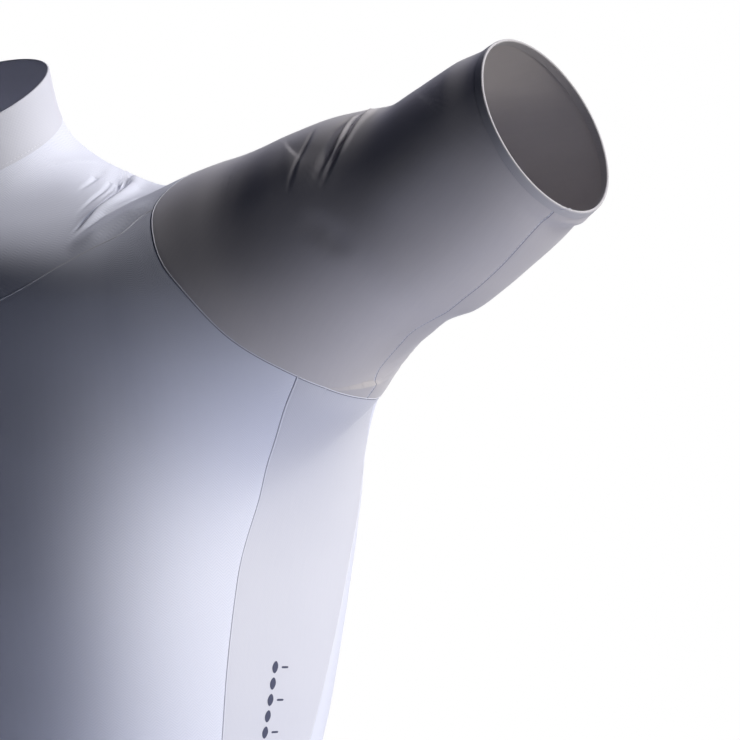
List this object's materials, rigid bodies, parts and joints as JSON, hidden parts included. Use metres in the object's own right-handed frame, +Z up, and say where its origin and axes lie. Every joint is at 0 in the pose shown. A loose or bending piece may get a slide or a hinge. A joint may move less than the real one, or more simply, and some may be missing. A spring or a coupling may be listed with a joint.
{
  "type": "cycling jersey",
  "caption": "Short-sleeved close-fitting cycling jersey, held as worn with both arms raised, with a full front zip and three back pockets.",
  "frame": {"origin": "middle of the neck base, between the shoulders, where the neck and shoulders hold the garment up", "axes": "+Z up, -Y out of the wearer's chest, +X towards the wearer's left"},
  "size_m": [0.7378, 0.2671, 0.6028],
  "materials": {
    "mesh_knit": "fine zigzag mesh knit, white with a cool cast",
    "fine_knit": "smooth fine knit, white with a cool cast",
    "sleeve_knit": "smooth stretch knit with a low sheen, off-white",
    "bonded_edge": "bonded stretch edge, white",
    "zip_tape": "woven tape, white",
    "zip_coil": "nylon coil, pale grey",
    "zip_metal": "painted die-cast metal, grey"
  },
  "bodies": {
    "jersey": {"back": "mesh_knit", "front_left": "mesh_knit", "front_right": "mesh_knit", "side_left": "fine_knit", "side_right": "fine_knit", "collar": "fine_knit", "pocket_left": "fine_knit", "pocket_middle": "fine_knit", "pocket_right": "fine_knit", "sleeve_left": "sleeve_knit", "sleeve_right": "sleeve_knit", "cuff_left": "bonded_edge", "cuff_right": "bonded_edge", "hem_band": "bonded_edge", "zip_tape_left": "zip_tape", "zip_tape_right": "zip_tape", "zip_coil": "zip_coil", "zip_slider": "zip_metal"},
    "zip_pull": {"zip_pull": "zip_metal"}
  },
  "joints": [
    {"name": "zip_pull_hinge", "type": "hinge", "parent": "jersey", "child": "zip_pull", "pos_m": [0, -0.06019, -0.01314], "axis": [-1, 0, 0], "range_deg": [-5, 150]}
  ]
}
